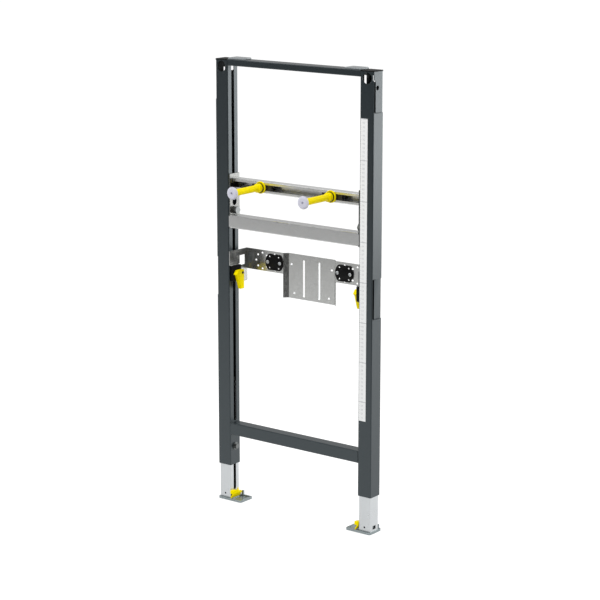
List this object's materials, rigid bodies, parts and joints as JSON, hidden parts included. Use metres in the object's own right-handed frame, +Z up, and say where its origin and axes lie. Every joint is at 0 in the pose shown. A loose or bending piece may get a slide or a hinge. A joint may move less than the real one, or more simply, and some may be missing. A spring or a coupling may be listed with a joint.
{
  "type": "washbasin installation frame",
  "caption": "Upright steel washbasin installation frame on telescopic feet, with a stud rail and a pipe plate that slide up and down.",
  "frame": {"origin": "on the floor, midway between the posts in X and in the middle of the overall depth in Y", "axes": "+X to the right of someone facing the frame, +Y back towards the wall, +Z up"},
  "size_m": [0.49, 0.184, 1.1605],
  "materials": {
    "powder_coat": "anthracite powder coat, semi-matt",
    "galvanised": "galvanised sheet steel",
    "bright_steel": "zinc-plated steel",
    "saddle_grey": "light grey coated",
    "black_plastic": "black, matt",
    "yellow_plastic": "signal yellow",
    "white_plastic": "off-white",
    "scale_label": "white printed strip",
    "foot_grey": "grey zinc-plated steel",
    "dark_steel": "blackened steel"
  },
  "bodies": {
    "frame": {"left_post": "powder_coat", "right_post": "powder_coat", "left_post_cap": "black_plastic", "right_post_cap": "black_plastic", "top_cross_member": "powder_coat", "bottom_cross_member": "powder_coat", "left_connector": "saddle_grey", "right_connector": "saddle_grey", "measuring_strip": "scale_label", "left_foot_clamp_bolt": "bright_steel", "right_foot_clamp_bolt": "bright_steel"},
    "left_foot": {"left_foot_tube": "bright_steel", "left_foot_plate": "foot_grey", "left_foot_lock": "yellow_plastic"},
    "right_foot": {"right_foot_tube": "bright_steel", "right_foot_plate": "foot_grey", "right_foot_lock": "yellow_plastic"},
    "rail_carriage": {"left_rail_bracket": "galvanised", "right_rail_bracket": "galvanised", "left_rail_guide": "black_plastic", "right_rail_guide": "black_plastic", "left_rail_bolt": "bright_steel", "right_rail_bolt": "bright_steel", "fixing_rail": "galvanised", "lower_rail": "galvanised"},
    "left_stud_group": {"left_stud_slider": "dark_steel", "left_stud_ring": "yellow_plastic", "left_stud_nut": "dark_steel", "left_stud_sleeve": "yellow_plastic", "left_stud_cap": "white_plastic", "left_stud": "bright_steel"},
    "right_stud_group": {"right_stud_slider": "dark_steel", "right_stud_ring": "yellow_plastic", "right_stud_nut": "dark_steel", "right_stud_sleeve": "yellow_plastic", "right_stud_cap": "white_plastic", "right_stud": "bright_steel"},
    "pipe_carriage": {"pipe_plate": "galvanised", "left_tap_fixing": "black_plastic", "right_tap_fixing": "black_plastic", "left_clamp_body": "black_plastic", "right_clamp_body": "black_plastic"},
    "left_lever": {"left_clamp_lever": "yellow_plastic"},
    "right_lever": {"right_clamp_lever": "yellow_plastic"}
  },
  "joints": [
    {"name": "left_foot_slide", "type": "slide", "parent": "frame", "child": "left_foot", "axis": [0, 0, -1], "range_m": [-0.036, 0.164]},
    {"name": "right_foot_slide", "type": "slide", "parent": "frame", "child": "right_foot", "axis": [0, 0, -1], "range_m": [-0.036, 0.164]},
    {"name": "rail_height", "type": "slide", "parent": "frame", "child": "rail_carriage", "axis": [0, 0, 1], "range_m": [-0.02, 0.24]},
    {"name": "pipe_plate_height", "type": "slide", "parent": "frame", "child": "pipe_carriage", "axis": [0, 0, 1], "range_m": [-0.2, 0.02]},
    {"name": "left_stud_spacing", "type": "slide", "parent": "rail_carriage", "child": "left_stud_group", "axis": [-1, 0, 0], "range_m": [-0.05, 0.055]},
    {"name": "right_stud_spacing", "type": "slide", "parent": "rail_carriage", "child": "right_stud_group", "axis": [1, 0, 0], "range_m": [-0.05, 0.055]},
    {"name": "left_lever_pivot", "type": "hinge", "parent": "pipe_carriage", "child": "left_lever", "pos_m": [-0.189, 0.041, 0.609], "axis": [1, 0, 0], "range_deg": [0, 75]},
    {"name": "right_lever_pivot", "type": "hinge", "parent": "pipe_carriage", "child": "right_lever", "pos_m": [0.189, 0.041, 0.609], "axis": [1, 0, 0], "range_deg": [0, 75]}
  ]
}
